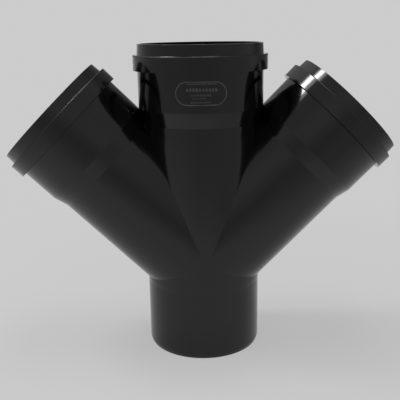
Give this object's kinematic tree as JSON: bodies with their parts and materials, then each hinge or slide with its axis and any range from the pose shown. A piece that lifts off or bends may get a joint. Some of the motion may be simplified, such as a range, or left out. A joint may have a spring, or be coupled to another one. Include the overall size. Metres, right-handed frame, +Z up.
{
  "type": "forty-five degree branch fitting",
  "caption": "Black double branch pipe fitting: a plain spigot below and ring-seal sockets above, straight up and leaning out at forty-five degrees on both sides.",
  "frame": {"origin": "centre of the spigot's end face, which the fitting stands on", "axes": "+Z up the run and out of the top socket, +X towards the right branch, +Y to the back"},
  "size_m": [0.3658, 0.1254, 0.293],
  "materials": {
    "body_plastic": "glossy black moulded plastic",
    "seal_rubber": "matt black rubber"
  },
  "bodies": {
    "root": {"fitting_body": "body_plastic", "top_seal": "seal_rubber", "left_seal": "seal_rubber", "right_seal": "seal_rubber"}
  },
  "joints": []
}
